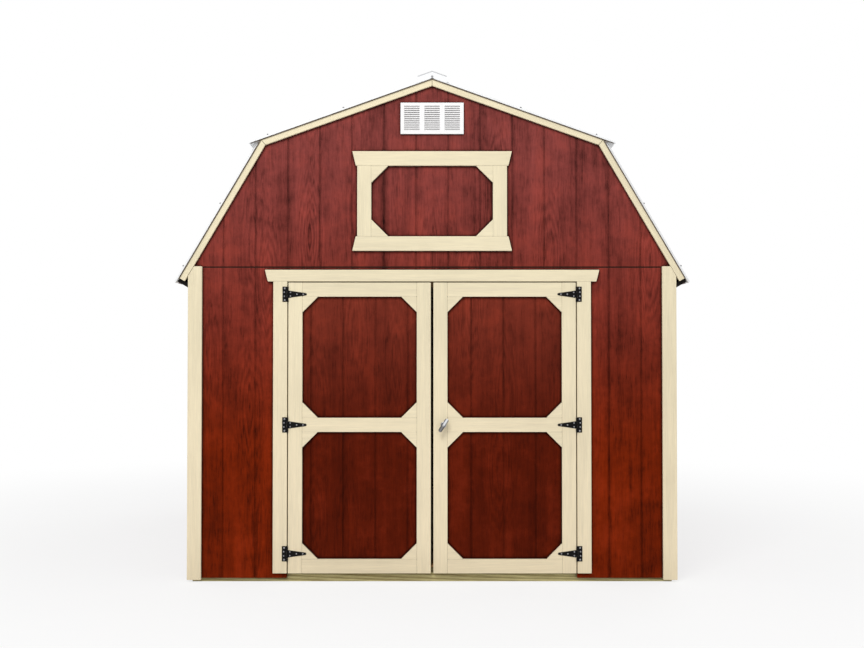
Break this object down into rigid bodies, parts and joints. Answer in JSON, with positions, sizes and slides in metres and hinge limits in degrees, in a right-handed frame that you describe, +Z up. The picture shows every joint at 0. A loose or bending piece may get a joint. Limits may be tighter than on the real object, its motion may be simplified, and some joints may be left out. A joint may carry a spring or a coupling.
{
  "type": "lofted barn",
  "caption": "Gambrel-roofed lofted barn shed on skids, with grooved red siding, cream trim, a louvred gable vent and double barn doors that swing outward on strap hinges.",
  "frame": {"origin": "on the ground under the middle of the floor, on the underside of the middle skid", "axes": "+X to the right seen from the front, +Y from the doors to the back wall, +Z up"},
  "size_m": [3.2736, 3.755, 3.2278],
  "materials": {
    "siding_red": "satin",
    "trim_cream": "satin",
    "treated_lumber": "matte",
    "framing_lumber": "matte",
    "plywood": "matte",
    "eave_black": "satin",
    "roof_metal": "satin",
    "hinge_black": "satin",
    "handle_chrome": "polished",
    "vent_white": "satin"
  },
  "bodies": {
    "barn": {"front_siding_beside_door": "siding_red", "front_siding_over_door": "siding_red", "front_gable_siding": "siding_red", "back_wall_siding": "siding_red", "back_gable_siding": "siding_red", "side_wall_sidings": "siding_red", "front_rake_trims": "trim_cream", "back_rake_trims": "trim_cream", "end_corner_trims": "trim_cream", "side_corner_trims": "trim_cream", "door_casings": "trim_cream", "door_header_trim": "trim_cream", "loft_trim_rails": "trim_cream", "loft_trim_posts": "trim_cream", "loft_trim_gussets": "trim_cream", "skids": "treated_lumber", "band_boards": "treated_lumber", "floor_joists": "treated_lumber", "wall_plates": "framing_lumber", "wall_studs": "framing_lumber", "door_jambs": "framing_lumber", "door_header_beam": "framing_lumber", "gable_studs": "framing_lumber", "ridge_board": "framing_lumber", "upper_rafters": "framing_lumber", "lower_rafters": "framing_lumber", "loft_joists": "framing_lumber", "floor_deck": "plywood", "loft_deck": "plywood", "roof_decks": "plywood", "rafter_gussets": "plywood", "eave_fascias": "eave_black", "rake_drip_edges": "eave_black", "seam_flashings": "eave_black", "roof_panels": "roof_metal", "ridge_cap": "roof_metal", "hinge_leaves": "hinge_black", "gable_vents": "vent_white"},
    "left_door": {"left_door_panel": "siding_red", "left_door_stiles": "trim_cream", "left_door_rails": "trim_cream", "left_door_gussets": "trim_cream", "left_door_back_rails": "framing_lumber", "left_hinge_straps": "hinge_black"},
    "right_door": {"right_door_panel": "siding_red", "right_door_stiles": "trim_cream", "right_door_rails": "trim_cream", "right_door_gussets": "trim_cream", "right_door_back_rails": "framing_lumber", "right_hinge_straps": "hinge_black", "handle_rose": "handle_chrome"},
    "t_handle": {"t_handle": "handle_chrome"}
  },
  "joints": [
    {"name": "left_door_swing", "type": "hinge", "parent": "barn", "child": "left_door", "pos_m": [-0.9115, -1.854, 0.988], "axis": [0, 0, -1], "range_deg": [0, 170]},
    {"name": "right_door_swing", "type": "hinge", "parent": "barn", "child": "right_door", "pos_m": [0.9115, -1.854, 0.988], "axis": [0, 0, 1], "range_deg": [0, 170]},
    {"name": "t_handle_turn", "type": "hinge", "parent": "right_door", "child": "t_handle", "pos_m": [0.0715, -1.888, 0.988], "axis": [0, 1, 0], "range_deg": [-33, 57]}
  ]
}
